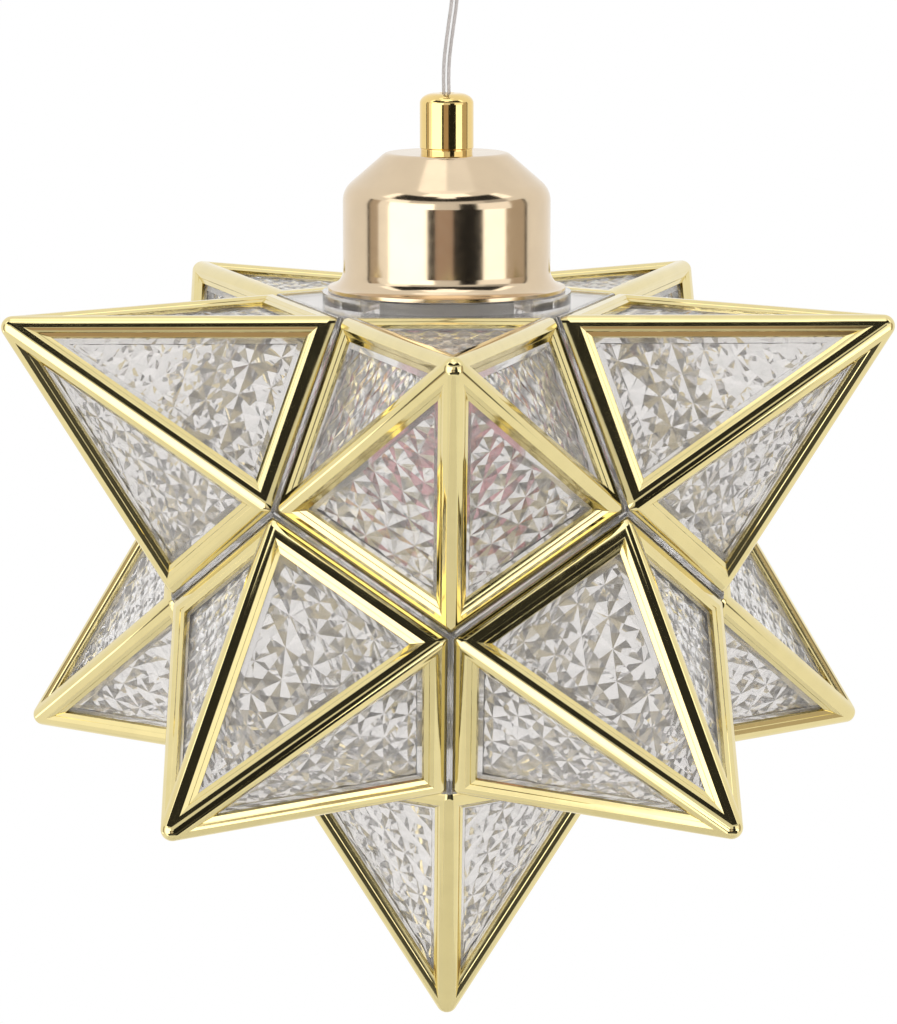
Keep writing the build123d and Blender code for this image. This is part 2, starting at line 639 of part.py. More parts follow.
def lamp_filaments():
    """Upright filament rods round the stem, joined to it by support arms."""
    low = Z_BULB_CENTRE - FILAMENT_LENGTH / 2 - FILAMENT_DROP
    arm_level = Z_STEM_TOP - STEM_HEIGHT + FILAMENT_ARM_RISE
    taper = (STEM_RADIUS - STEM_END_RADIUS) / (STEM_HEIGHT - STEM_FLARE)
    arm_start = STEM_END_RADIUS + taper * (FILAMENT_ARM_RISE + FILAMENT_ARM_RADIUS) + THREAD_GAP
    shapes = []
    for index in range(FILAMENT_COUNT):
        strip = rod(FILAMENT_RADIUS, (FILAMENT_REACH, 0, low), (FILAMENT_REACH, 0, low + FILAMENT_LENGTH))
        arm = rod(FILAMENT_ARM_RADIUS, (arm_start, 0, arm_level), (FILAMENT_REACH, 0, arm_level))
        shapes.append(Rot(0, 0, (index + 0.5) * 360 / FILAMENT_COUNT) * (strip + arm))
    return Compound(shapes)


# ---------------------------------------------------------------- cord and canopy
def free_cord():
    """Free stretch of the cord between its two pivots, with a round end at each."""
    corners = [(x, y, Z_UPPER_PIVOT - drop) for x, y, drop in FREE_CORD]
    radii = []
    for before, corner, after in zip(corners, corners[1:], corners[2:]):
        first = Vector(*corner) - Vector(*before)
        second = Vector(*after) - Vector(*corner)
        half_turn = first.get_angle(second) / 2 * pi / 180
        radii.append(0.45 * min(first.length, second.length) / tan(half_turn))
    path = FilletPolyline(*corners, radius=radii)
    print("cord radii", [round(radius, 1) for radius in radii], "length", round(path.length, 2))
    cord = sweep(Plane(path @ 0, z_dir=path % 0) * Circle(CORD_RADIUS), path)
    print("cord volume / section x length", cord.volume / (pi * CORD_RADIUS ** 2 * path.length))
    for place in (corners[0], corners[-1]):
        cord += Pos(*place) * Sphere(CORD_RADIUS)
    return cord


def canopy_cover():
    """Round canopy, open at the ceiling, with a rounded lower edge."""
    wall = CANOPY_WALL
    outer = CANOPY_RADIUS
    bend = CANOPY_ROUNDING
    low = Z_CANOPY
    hole = BUSH_THREAD_RADIUS + THREAD_GAP
    diagonal = 1 - cos(pi / 4)
    outer_arc = ThreePointArc((outer, 0, low + bend), (outer - bend * diagonal, 0, low + bend * diagonal),
                              (outer - bend, 0, low))
    inner = bend - wall
    inner_arc = ThreePointArc((outer - bend, 0, low + wall),
                              (outer - wall - inner * diagonal, 0, low + wall + inner * diagonal),
                              (outer - wall, 0, low + bend))
    lines = [
        outer_arc,
        Polyline((outer - bend, 0, low), (hole, 0, low), (hole, 0, low + wall),
                 (outer - bend, 0, low + wall)),
        inner_arc,
        Polyline((outer - wall, 0, low + bend), (outer - wall, 0, 0), (outer, 0, 0),
                 (outer, 0, low + bend)),
    ]
    cover = revolve(make_face(lines), Axis.Z)
    for side in (-1, 1):
        hole_tool = Cylinder(SIDE_SCREW_RADIUS + THREAD_GAP, wall * 6, rotation=(0, 90, 0))
        cover -= Pos(side * outer, 0, -SIDE_SCREW_LEVEL) * hole_tool
    return cover


def mounting_bracket():
    """Ceiling strap with two slots and a turned-down threaded lug at each end."""
    half = BRACKET_HALF
    thin = BRACKET_THICKNESS
    outline = Polyline(
        (-half, 0, 0), (half, 0, 0), (half, 0, -BRACKET_LUG), (half - thin, 0, -BRACKET_LUG),
        (half - thin, 0, -thin), (-half + thin, 0, -thin), (-half + thin, 0, -BRACKET_LUG),
        (-half, 0, -BRACKET_LUG), close=True,
    )
    strap = extrude(make_face(outline), BRACKET_WIDTH / 2, both=True)
    for side in (-1, 1):
        slot = extrude(SlotOverall(SLOT_LENGTH, SLOT_WIDTH), thin * 2, both=True)
        strap -= Pos(side * SLOT_SPACING / 2, 0, 0) * slot
        hole = Cylinder(SIDE_SCREW_RADIUS + THREAD_GAP, thin * 4, rotation=(0, 90, 0))
        strap -= Pos(side * half, 0, -SIDE_SCREW_LEVEL) * hole
    return strap


def canopy_screws():
    """Two side screws that hold the canopy on the bracket's lugs."""
    shapes = []
    for side in (-1, 1):
        shank = Cylinder(SIDE_SCREW_RADIUS, SIDE_SCREW_LENGTH, rotation=(0, 90, 0))
        head = Cylinder(SIDE_SCREW_HEAD_RADIUS, SIDE_SCREW_HEAD_HEIGHT, rotation=(0, 90, 0))
        face = CANOPY_RADIUS + SIDE_SCREW_GAP
        screw = Pos(side * (face - SIDE_SCREW_LENGTH / 2), 0, -SIDE_SCREW_LEVEL) * shank
        screw += Pos(side * (face + SIDE_SCREW_HEAD_HEIGHT / 2), 0, -SIDE_SCREW_LEVEL) * head
        shapes.append(screw)
    return Compound(shapes)


def outlet_bush():
    """Bush through the canopy's middle with a bell mouth for the cord."""
    bore = CORD_RADIUS + CORD_GAP
    return turned(
        (bore, Z_CANOPY + BUSH_ABOVE), (BUSH_THREAD_RADIUS, Z_CANOPY + BUSH_ABOVE),
        (BUSH_THREAD_RADIUS, Z_CANOPY), (BUSH_RADIUS, Z_CANOPY),
        (BUSH_RADIUS, Z_BUSH + BUSH_CHAMFER), (BUSH_RADIUS - BUSH_CHAMFER, Z_BUSH),
        (BUSH_MOUTH_RADIUS, Z_BUSH),
        (bore, Z_UPPER_PIVOT),
    )


def bush_locknut():
    """Nut on the bush inside the canopy."""
    return hex_nut(Z_CANOPY + CANOPY_WALL, BUSH_THREAD_RADIUS + THREAD_GAP)


def terminal_block():
    """Connector block screwed under the bracket, with two wire bores."""
    length, width, height = BLOCK_SIZE
    block = Box(length, width, height)
    for side in (-1, 1):
        block -= Pos(side * length / 4, 0, 0) * Cylinder(
            WIRE_RADIUS + THREAD_GAP, width * 2, rotation=(90, 0, 0))
    for side in (-1, 1):
        depth = BLOCK_SCREW_DEPTH + BLOCK_SCREW_LENGTH + THREAD_GAP
        screw_hole = Cylinder(BLOCK_SCREW_RADIUS + THREAD_GAP, depth * 2)
        block -= Pos(side * length / 4, width / 4, -height / 2) * screw_hole
    return Pos(0, 0, -BRACKET_THICKNESS - height / 2) * block


def block_screws():
    """Two clamping screws in the underside of the connector block."""
    length, width, height = BLOCK_SIZE
    shapes = []
    for side in (-1, 1):
        screw = Cylinder(BLOCK_SCREW_RADIUS, BLOCK_SCREW_LENGTH)
        level = -BRACKET_THICKNESS - height + BLOCK_SCREW_DEPTH + BLOCK_SCREW_LENGTH / 2
        shapes.append(Pos(side * length / 4, width / 4, level) * screw)
    return Compound(shapes)


def canopy_cord():
    """Cord's upper end from the bush's bore up into the canopy."""
    top = Z_CANOPY + BUSH_ABOVE + CORD_END_GAP
    return tube(CORD_RADIUS, 0.0, Z_UPPER_PIVOT + CORD_RADIUS + CORD_GAP, top)


def canopy_wires():
    """Two insulated wires from the cord's upper end to the connector block."""
    length, width, height = BLOCK_SIZE
    start = Z_CANOPY + BUSH_ABOVE + CORD_END_GAP
    level = -BRACKET_THICKNESS - height / 2
    front = -width / 2 - BLOCK_WIRE_REACH
    shapes = []
    for side in (-1, 1):
        corners = [
            (side * WIRE_PITCH / 2, 0, start),
            (side * WIRE_PITCH / 2, 0, start + WIRE_LEAD / 2),
            (side * length / 4, front, level - BLOCK_WIRE_DROP),
            (side * length / 4, front, level),
            (side * length / 4, 0, level),
        ]
        shapes.append(bent_rod(WIRE_RADIUS, corners, WIRE_RADIUS * 1.5))
    return Compound(shapes)


# ---------------------------------------------------------------- every node
def build_nodes():
    """All sub-parts by node name, in place."""
    nodes = {
        "mounting_bracket": mounting_bracket(),
        "canopy_cover": canopy_cover(),
        "canopy_screws": canopy_screws(),
        "outlet_bush": outlet_bush(),
        "bush_locknut": bush_locknut(),
        "terminal_block": terminal_block(),
        "block_screws": block_screws(),
        "canopy_cord": canopy_cord(),
        "canopy_wires": canopy_wires(),
        "cord_free_run": free_cord(),
        "cord_grip": cord_grip(),
        "threaded_nipple": threaded_nipple(),
        "socket_cup": socket_cup(),
        "cup_washer": cup_washer(),
        "cup_locknut": cup_locknut(),
        "neck_clips": neck_clips(),
        "holder_cap": holder_cap(),
        "holder_skirt": holder_skirt(),
        "contact_insert": contact_insert(),
        "screw_shell": screw_shell(),
        "centre_contact": centre_contact(),
        "side_contact": side_contact(),
        "contact_screws": contact_screws(),
        "inner_cord": inner_cord(),
        "holder_wires": holder_wires(),
        "bulb_contact": bulb_contact(),
        "bulb_insulator": bulb_insulator(),
        "bulb_screw_cap": bulb_screw_cap(),
        "bulb_glass": bulb_glass(),
        "lamp_stem": lamp_stem(),
        "lamp_filaments": lamp_filaments(),
        "top_plate": top_plate(),
    }
    frame = gold_frame()
    crystal = clear_point()
    places = [(name, point_plane(azimuth, side)) for name, azimuth, side in POINT_PLACES]
    places.append(("bottom", bottom_plane()))
    for name, plane in places:
        nodes["frame_" + name] = plane * frame
        nodes["crystal_" + name] = plane * crystal
    return nodes


os.makedirs("parts", exist_ok=True)
for node_name, node_shape in build_nodes().items():
    export_step(node_shape, "parts/" + node_name + ".step")
print("star centre", round(Z_STAR, 3), "top plane", round(Z_TOP_PLANE, 3))
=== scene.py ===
"""Moravian star pendant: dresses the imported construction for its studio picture.

Lengths are metres and angles are degrees unless a name says otherwise. +Z is up, and a viewer in
front of the star looks along +Y with +X to the right.
"""

import logging
from dataclasses import dataclass
from enum import Enum
from math import atan, cos, pi, radians, sin, sqrt, tan

import bmesh
import bpy
from mathutils import Matrix, Vector


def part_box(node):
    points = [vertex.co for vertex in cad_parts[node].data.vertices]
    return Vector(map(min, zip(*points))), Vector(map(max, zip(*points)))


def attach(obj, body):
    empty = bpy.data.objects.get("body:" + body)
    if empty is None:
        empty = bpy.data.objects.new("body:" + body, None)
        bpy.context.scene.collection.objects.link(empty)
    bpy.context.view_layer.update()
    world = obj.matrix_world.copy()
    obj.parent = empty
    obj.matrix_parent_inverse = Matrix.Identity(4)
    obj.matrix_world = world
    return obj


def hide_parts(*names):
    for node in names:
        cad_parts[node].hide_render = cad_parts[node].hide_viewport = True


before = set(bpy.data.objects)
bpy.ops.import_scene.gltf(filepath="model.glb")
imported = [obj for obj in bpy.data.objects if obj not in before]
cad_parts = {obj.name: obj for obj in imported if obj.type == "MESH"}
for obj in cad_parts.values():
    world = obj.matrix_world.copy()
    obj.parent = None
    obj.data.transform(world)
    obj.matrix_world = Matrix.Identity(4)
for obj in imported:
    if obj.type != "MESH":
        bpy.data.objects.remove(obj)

log = logging.getLogger("star_pendant")

MM = 0.001
SIDES = 5
MERGE_DIGITS = 7
MERGE_GAP = 1e-7        # places nearer than this are one corner
NOISE_SPAN = (0.3, 0.7)     # values between which most of a noise factor lies

Colour = tuple[float, float, float]
Ring = list[Vector]


class Body(Enum):
    """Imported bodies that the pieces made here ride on."""

    CORD = "cord"
    SHADE = "shade"


# ------------------------------------------------------------------ shader graphs
class Graph:
    """Small helper round one node tree."""

    def __init__(self, tree: bpy.types.NodeTree) -> None:
        """Empty the tree and keep it.

        Args:
            tree: node tree of a material or a world.
        """
        self.tree = tree
        tree.nodes.clear()

    def add(self, kind: str, inputs: dict | None = None, **settings) -> bpy.types.Node:
        """Add one node.

        Args:
            kind: node type without its ShaderNode prefix.
            inputs: socket name or index to a value or to an output socket.
            **settings: properties set on the node itself.

        Returns:
            The new node.
        """
        node = self.tree.nodes.new("ShaderNode" + kind)
        for key, value in settings.items():
            setattr(node, key, value)
        for key, value in (inputs or {}).items():
            if isinstance(value, bpy.types.NodeSocket):
                self.tree.links.new(value, node.inputs[key])
            else:
                node.inputs[key].default_value = value
        return node

    def math(self, operation: str, *values) -> bpy.types.NodeSocket:
        """Add a math node and return its output."""
        node = self.add("Math", dict(enumerate(values)), operation=operation)
        return node.outputs[0]

    def ramp(self, factor: bpy.types.NodeSocket, stops: list) -> bpy.types.NodeSocket:
        """Add a colour ramp.

        Args:
            factor: socket that drives the ramp.
            stops: (position, colour) pairs in order.

        Returns:
            The ramp's colour socket.
        """
        node = self.add("ValToRGB", {"Fac": factor})
        elements = node.color_ramp.elements
        while len(elements) < len(stops):
            elements.new(1.0)
        for element, (position, colour) in zip(elements, stops):
            element.position = position
            element.color = (*colour, 1.0)
        return node.outputs["Color"]

    def smooth_step(self, value: bpy.types.NodeSocket, low: float, high: float) -> bpy.types.NodeSocket:
        """Return a socket that goes smoothly from 0 at low to 1 at high."""
        ranged = {"Value": value, "From Min": low, "From Max": high}
        return self.add("MapRange", ranged, interpolation_type="SMOOTHSTEP").outputs["Result"]

    def mix(self, factor: bpy.types.NodeSocket, first, second) -> bpy.types.NodeSocket:
        """Mix two colours, given as sockets or values, by a factor and return the result."""
        node = self.add("MixRGB", {"Fac": factor, "Color1": first, "Color2": second})
        return node.outputs["Color"]

    def noise(self, size: float, detail: float) -> bpy.types.NodeSocket:
        """Return a noise factor whose features are about `size` metres."""
        place = self.add("TexCoord").outputs["Object"]
        return self.add("TexNoise", {"Vector": place, "Scale": 1 / size, "Detail": detail}).outputs["Fac"]


@dataclass(frozen=True)
class Finish:
    """Finish of a kind of surface, made once and shared by its pieces."""

    name: str
    slot: str
    colour: Colour
    roughness: float
    mottle: float = 0.03        # share by which the colour varies
    mottle_size: float = 9 * MM
    mottle_detail: float = 3.0
    relief: float = 0.0         # height of the surface's waviness
    relief_size: float = 2.5 * MM
    relief_detail: float = 2.0
    roughness_spread: float = 0.04
    roughness_detail: float = 4.0

    def sockets(self) -> dict:
        """Shader sockets that are the same all over this finish."""
        return {}

    def colour_socket(self, graph: Graph) -> bpy.types.NodeSocket:
        """Colour that varies a little in patches."""
        patches = graph.noise(self.mottle_size, self.mottle_detail)
        darker = tuple(part * (1 - self.mottle) for part in self.colour)
        lighter = tuple(min(1.0, part * (1 + self.mottle)) for part in self.colour)
        return graph.ramp(patches, list(zip(NOISE_SPAN, (darker, lighter))))

    def roughness_socket(self, graph: Graph) -> bpy.types.NodeSocket:
        """Roughness that varies a little in smudges."""
        smudges = graph.noise(self.relief_size, self.roughness_detail)
        ranged = {
            "Value": smudges, "From Min": NOISE_SPAN[0], "From Max": NOISE_SPAN[1],
            "To Min": self.roughness, "To Max": self.roughness + self.roughness_spread,
        }
        return graph.add("MapRange", ranged).outputs["Result"]

    def relief_socket(self, graph: Graph) -> bpy.types.NodeSocket:
        """Normal of a slightly wavy surface."""
        waves = graph.noise(self.relief_size, self.relief_detail)
        bump = graph.add("Bump", {"Height": waves, "Distance": self.relief, "Strength": 1.0})
        return bump.outputs["Normal"]

    def material(self) -> bpy.types.Material:
        """Build the material, or return it if it is there.

        Returns:
            The finish's node material.
        """
        made = bpy.data.materials.get(self.name)
        if made is not None:
            return made
        made = bpy.data.materials.new(self.name)
        made.use_nodes = True
        graph = Graph(made.node_tree)
        inputs = {"Base Color": self.colour_socket(graph), "Roughness": self.roughness_socket(graph)}
        if self.relief:
            inputs["Normal"] = self.relief_socket(graph)
        shader = graph.add("BsdfPrincipled", {**inputs, **self.sockets()})
        graph.add("OutputMaterial", {"Surface": shader.outputs["BSDF"]})
        return made


@dataclass(frozen=True)
class Metal(Finish):
    """Plated or solid metal."""

    def sockets(self) -> dict:
        """Full metal."""
        return {"Metallic": 1.0}


@dataclass(frozen=True)
class Plastic(Finish):
    """Opaque moulded plastic or painted surface."""

    ior: float = 1.5
    coat: float = 0.0

    def sockets(self) -> dict:
        """Plain dielectric with a light coat."""
        return {"IOR": self.ior, "Coat Weight": self.coat}


@dataclass(frozen=True)
class Clear(Finish):
    """Clear moulded plastic or glass, with a share of milky body."""

    ior: float = 1.49
    clarity: float = 1.0

    def sockets(self) -> dict:
        """Transmission over whatever is milky."""
        return {"IOR": self.ior, "Transmission Weight": self.clarity}


GOLD_FRAME = Metal("gold_frame_plating", "gold_frame", (0.79, 0.68, 0.34), 0.05,
                   relief=0.004 * MM, relief_size=4 * MM)
CHAMPAGNE = Metal("champagne_cup_metal", "champagne_metal", (0.70, 0.565, 0.40), 0.11)
GRIP_GOLD = Metal("grip_polished_brass", "gold_metal", (0.86, 0.65, 0.27), 0.06)
STEEL = Metal("zinc_plated_steel", "steel", (0.60, 0.60, 0.61), 0.25, relief=0.003 * MM, relief_size=1 * MM)
CONTACT = Metal("pressed_contact_brass", "contact_brass", (0.72, 0.55, 0.25), 0.22)
CAP_METAL = Metal("bulb_cap_nickel", "bulb_cap_metal", (0.70, 0.70, 0.71), 0.2)
CRYSTAL = Clear("clear_moulded_star", "crystal", (0.99, 0.975, 0.965), 0.01, mottle=0.01, clarity=0.86)
CLEAR_PLATE = Clear("clear_top_plate", "crystal", (0.985, 0.965, 0.955), 0.03, mottle=0.01, clarity=0.93)
BULB_GLASS = Clear("bulb_rosy_glass", "bulb_glass", (0.80, 0.50, 0.53), 0.0, mottle=0.005, ior=1.45)
CORD_SHEATH = Clear("clear_cord_sheath", "clear_cord", (0.93, 0.92, 0.91), 0.08, mottle=0.02, ior=1.4)
STRAND = Metal("silvery_copper_strand", "clear_cord", (0.62, 0.58, 0.56), 0.3,
               mottle=0.1, mottle_size=1 * MM)
WHITE_PLASTIC = Plastic("white_moulded_plastic", "white_plastic", (0.82, 0.81, 0.78), 0.35, coat=0.1)
BLACK_PLASTIC = Plastic("black_moulded_plastic", "black_plastic", (0.03, 0.03, 0.03), 0.4)
PHOSPHOR = Plastic("dusty_red_filament", "filament", (0.62, 0.18, 0.15), 0.5,
                   mottle=0.1, mottle_size=1 * MM)


# ------------------------------------------------------------------ pieces
def place_piece(name: str, data: bpy.types.ID, finish: Finish, body: Body) -> bpy.types.Object:
    """Put a mesh or curve in the scene as a piece, with its finish and its body."""
    piece = bpy.data.objects.new(name, data)
    data.materials.append(finish.material())
    bpy.context.scene.collection.objects.link(piece)
    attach(piece, body.value)
    log.info("%s rides on %s", name, body.value)
    return piece


def weld(mesh: bpy.types.Mesh) -> None:
    """Merge corners that lie in one place and turn all faces outwards."""
    work = bmesh.new()
    work.from_mesh(mesh)
    bmesh.ops.remove_doubles(work, verts=work.verts, dist=MERGE_GAP)
    bmesh.ops.recalc_face_normals(work, faces=work.faces)
    work.to_mesh(mesh)
    work.free()


def dress(finish: Finish, *nodes: str) -> None:
    """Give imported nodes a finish."""
    for node in nodes:
        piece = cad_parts[node]
        piece.data.materials.clear()
        piece.data.materials.append(finish.material())
        log.info("%s is dressed in %s", node, finish.name)


# ------------------------------------------------------------------ star geometry
@dataclass(frozen=True)
class StarShape:
    """Shape that all eleven points share, in a point's own frame with +Z to its tip."""

    edge: float = 60.5 * MM
    rounding: float = 3.2 * MM
    seam_half: float = 0.85 * MM
    frame_depth: float = 2.4 * MM
    foot_extra: float = 1.1 * MM    # extra width of a base bar, its outer flank

    @property
    def face_radius(self) -> float:
        """Corner radius of a dodecahedron face."""
        return self.edge / (2 * sin(pi / SIDES))

    @property
    def face_inradius(self) -> float:
        """Middle radius of a dodecahedron face."""
        return self.edge / (2 * tan(pi / SIDES))

    @property
    def inradius(self) -> float:
        """Distance of a dodecahedron face from the star's centre."""
        return self.edge / 2 * sqrt((25 + 11 * sqrt(5)) / 10)

    @property
    def height(self) -> float:
        """Height of a sharp point over its base."""
        return 2 * self.face_inradius

    @property
    def slant(self) -> float:
        """Length of a slant face from the middle of its base to the sharp tip."""
        return sqrt(self.height ** 2 + self.face_inradius ** 2)

    @property
    def lean(self) -> float:
        """Angle of a slant face from the point's axis, in radians."""
        return atan(self.face_inradius / self.height)

    @property
    def mitre(self) -> float:
        """Angle of a seam plane from the point's axis, in radians."""
        return atan(self.face_inradius / self.inradius)

    @property
    def apex_half(self) -> float:
        """Half of a slant face's sharp angle, in radians."""
        return atan(self.edge / 2 / self.slant)

    @property
    def ridge_share(self) -> float:
        """Inset of a ridge's inner line for each unit of depth."""
        return (sqrt(5) - 1) / 2

    @property
    def core_tip(self) -> float:
        """Centre of the tip's rounding, on the axis from the star's centre."""
        return self.inradius + self.height - self.rounding / sin(self.lean)

    @property
    def blunt_tip(self) -> float:
        """Distance of the rounded tip from the star's centre."""
        return self.core_tip + self.rounding

    @property
    def tangent_inset(self) -> float:
        """Inset at which the rounded ridge runs into the flat slant face."""
        return self.rounding * self.ridge_share

    def on_face(self, side: int, across: float, rise: float, depth: float) -> Vector:
        """Place on a slant face.

        Args:
            side: which of the five faces.
            across: distance from the face's middle line.
            rise: distance up the face from the base edge.
            depth: distance below the gold surface.

        Returns:
            The place in the point's frame.
        """
        angle = (side + 0.5) * 2 * pi / SIDES
        out = self.face_inradius - rise * sin(self.lean) - depth * cos(self.lean)
        up = self.inradius + rise * cos(self.lean) - depth * sin(self.lean)
        return Vector((out * cos(angle) - across * sin(angle), out * sin(angle) + across * cos(angle), up))

    def face_normal(self, side: int) -> Vector:
        """Outward normal of a slant face."""
        angle = (side + 0.5) * 2 * pi / SIDES
        return Vector((cos(self.lean) * cos(angle), cos(self.lean) * sin(angle), sin(self.lean)))

    def seam_rise(self, distance: float, depth: float) -> float:
        """Rise at which a face `depth` down lies `distance` from the seam plane."""
        joint = self.lean + self.mitre
        return (distance - depth * cos(joint)) / sin(joint)

    def window(self, inset: float) -> tuple[float, float, float]:
        """Half width, foot and apex of a window's outline at an inset.

        Args:
            inset: distance from the sharp slant edges and from the seam.

        Returns:
            Half width at the foot, rise of the foot and rise of the apex.
        """
        foot = inset + self.foot_extra + self.seam_half / cos(self.lean)
        apex = self.slant - inset / sin(self.apex_half)
        return (apex - foot) * tan(self.apex_half), foot, apex

    def window_ring(self, side: int, inset: float, depth: float) -> Ring:
        """Three corners of a window's outline."""
        half, foot, apex = self.window(inset)
        corners = ((-half, foot), (half, foot), (0.0, apex))
        return [self.on_face(side, across, rise, depth) for across, rise in corners]

    def cone_ring(self, depth: float, distance: float) -> Ring:
        """Five corners where the faces `depth` down lie `distance` from the seam planes."""
        rise = self.seam_rise(distance, depth)
        out = self.face_inradius - rise * sin(self.lean) - depth * cos(self.lean)
        up = self.inradius + rise * cos(self.lean) - depth * sin(self.lean)
        radius = out / cos(pi / SIDES)
        step = 2 * pi / SIDES
        return [Vector((radius * cos(k * step), radius * sin(k * step), up)) for k in range(SIDES)]

    def cone_tip(self, depth: float) -> Vector:
        """Sharp tip of the faces `depth` down."""
        return Vector((0, 0, self.inradius + self.height - depth / sin(self.lean)))


class MeshDraft:
    """Vertices and faces gathered before they become a mesh."""

    def __init__(self) -> None:
        """Start empty."""
        self.vertices: Ring = []
        self.faces: list[tuple[int, ...]] = []

    def polygon(self, corners: Ring) -> None:
        """Add one face by its corners."""
        start = len(self.vertices)
        self.vertices.extend(corners)
        self.faces.append(tuple(range(start, start + len(corners))))

    def strip(self, lower: Ring, upper: Ring, closed: bool = False) -> None:
        """Add quads between two rows of as many corners."""
        count = len(lower)
        for index in range(count if closed else count - 1):
            following = (index + 1) % count
            self.polygon([lower[index], lower[following], upper[following], upper[index]])

    def fan(self, ring: Ring, tip: Vector) -> None:
        """Add triangles from a closed ring of corners to one tip."""
        for index, corner in enumerate(ring):
            self.polygon([corner, ring[(index + 1) % len(ring)], tip])

    def mesh(self, name: str, smooth_below: float | None = None) -> bpy.types.Mesh:
        """Make a welded mesh.

        Args:
            name: mesh name.
            smooth_below: edges flatter than this many degrees shade smoothly, or None for flat.

        Returns:
            The new mesh.
        """
        mesh = bpy.data.meshes.new(name)
        mesh.from_pydata([tuple(v) for v in self.vertices], [], self.faces)
        weld(mesh)
        if smooth_below is not None:
            mesh.polygons.foreach_set("use_smooth", [True] * len(mesh.polygons))
            mesh.set_sharp_from_angle(angle=radians(smooth_below))
        return mesh


@dataclass(frozen=True)
class GoldFrame:
    """Gold edge frame of one point: rounded ridges and five stepped windows."""

    shape: StarShape
    corners: tuple = (
        # inset and depth of each corner of a bar's profile, and its rounding, in millimetres
        (3.05, 0.00, 0.45), (4.25, 0.68, 0.10), (4.35, 0.90, 0.08), (5.60, 1.42, 0.12),
    )
    lip_edge: float = 0.3 * MM
    flank: tuple = (
        # distance from the base side's edge and depth of each line of its outer flank
        (1.70 * MM, 0.0), (1.45 * MM, 0.04 * MM),
        (0.2 * MM, 0.72 * MM), (0.05 * MM, 0.82 * MM), (0.0, 1.0 * MM),
    )
    arc_steps: int = 4
    ridge_steps: int = 16
    tip_rings: int = 8
    smooth_below: float = 35.0      # edges flatter than this shade smoothly

    def profile(self) -> list[tuple[float, float]]:
        """Inset and depth of each line of a bar, from its ridge's tangent to its window.

        Returns:
            Pairs in metres.
        """
        points = [Vector((self.shape.tangent_inset, 0.0))]
        points += [Vector((inset * MM, depth * MM)) for inset, depth, _ in self.corners]
        last = points[-1] + Vector((0.0, self.lip_edge))
        rounded = [points[0]]
        for index, (_, _, radius) in enumerate(self.corners, start=1):
            following = points[index + 1] if index + 1 < len(points) else last
            rounded += self.fillet(points[index - 1], points[index], following, radius * MM)
        return [tuple(point) for point in rounded + [last]]

    def fillet(self, before: Vector, corner: Vector, after: Vector, radius: float) -> list[Vector]:
        """Arc that rounds one corner of a flat outline."""
        back = (before - corner).normalized()
        on = (after - corner).normalized()
        half = back.angle(on) / 2
        reach = radius / tan(half)
        centre = corner + (back + on).normalized() * (radius / sin(half))
        start, end = corner + back * reach - centre, corner + on * reach - centre
        steps = range(self.arc_steps + 1)
        return [centre + start.slerp(end, step / self.arc_steps) * radius for step in steps]

    def ridge_arc(self, side: int, radius: float) -> Ring:
        """Directions round the ridge between a side and the next, times a radius."""
        first, second = self.shape.face_normal(side), self.shape.face_normal(side + 1)
        return [first.slerp(second, k / self.ridge_steps) * radius for k in range(self.ridge_steps + 1)]

    def seam_chain(self, side: int, distance: float, depth: float) -> Ring:
        """Row of places over one base side, from one ridge to the next.

        Args:
            side: which of the five faces.
            distance: distance from the seam plane.
            depth: depth below the gold surface.

        Returns:
            Places from the left ridge round the face to the right ridge.
        """
        shape = self.shape
        tip = Vector((0, 0, shape.core_tip))
        half = self.ridge_steps // 2
        turn = (side + 0.5) * 2 * pi / SIDES
        inward = Vector((-cos(shape.mitre) * cos(turn), -cos(shape.mitre) * sin(turn), sin(shape.mitre)))
        row = []
        for ridge, pick in ((side - 1, slice(half, None)), (side, slice(0, half + 1))):
            angle = (ridge + 1) * 2 * pi / SIDES
            corner = Vector((shape.face_radius * cos(angle), shape.face_radius * sin(angle), shape.inradius))
            along = (Vector((0, 0, shape.inradius + shape.height)) - corner).normalized()
            for offset in self.ridge_arc(ridge, shape.rounding - depth)[pick]:
                start = tip + offset
                row.append(start + along * ((distance - inward.dot(start)) / inward.dot(along)))
        return row

    def add_side(self, draft: MeshDraft, side: int) -> Ring:
        """Add one side of the frame: its flank, half of each ridge, its stepped window and its foot.

        Args:
            draft: where the faces go.
            side: which of the five sides.

        Returns:
            Corners of the ridge's arc round the tip, without the last.
        """
        shape = self.shape
        half = self.ridge_steps // 2
        tip = Vector((0, 0, shape.core_tip))
        rows = [self.seam_chain(side, shape.seam_half + away, depth) for away, depth in self.flank]
        for above, below in zip(rows, rows[1:]):
            draft.strip(above, below)
        arc = [tip + offset for offset in self.ridge_arc(side, shape.rounding)]
        next_row = self.seam_chain(side + 1, shape.seam_half + self.flank[0][0], 0.0)
        draft.strip(rows[0][half + 1:] + next_row[1:half + 1], arc)
        outer = [rows[0][half], rows[0][half + 1], arc[0]]
        profile = self.profile()
        for inset, depth in profile[1:]:
            inner = shape.window_ring(side, inset, depth)
            draft.strip(outer, inner, closed=True)
            outer = inner
        opening = shape.window_ring(side, profile[-1][0], shape.frame_depth)
        draft.strip(outer, opening, closed=True)
        foot = shape.cone_ring(shape.frame_depth, shape.seam_half)
        left, right = foot[side], foot[(side + 1) % SIDES]
        draft.strip(opening, [left, right, shape.cone_tip(shape.frame_depth)], closed=True)
        draft.polygon([right, left] + rows[-1])
        return arc[:-1]

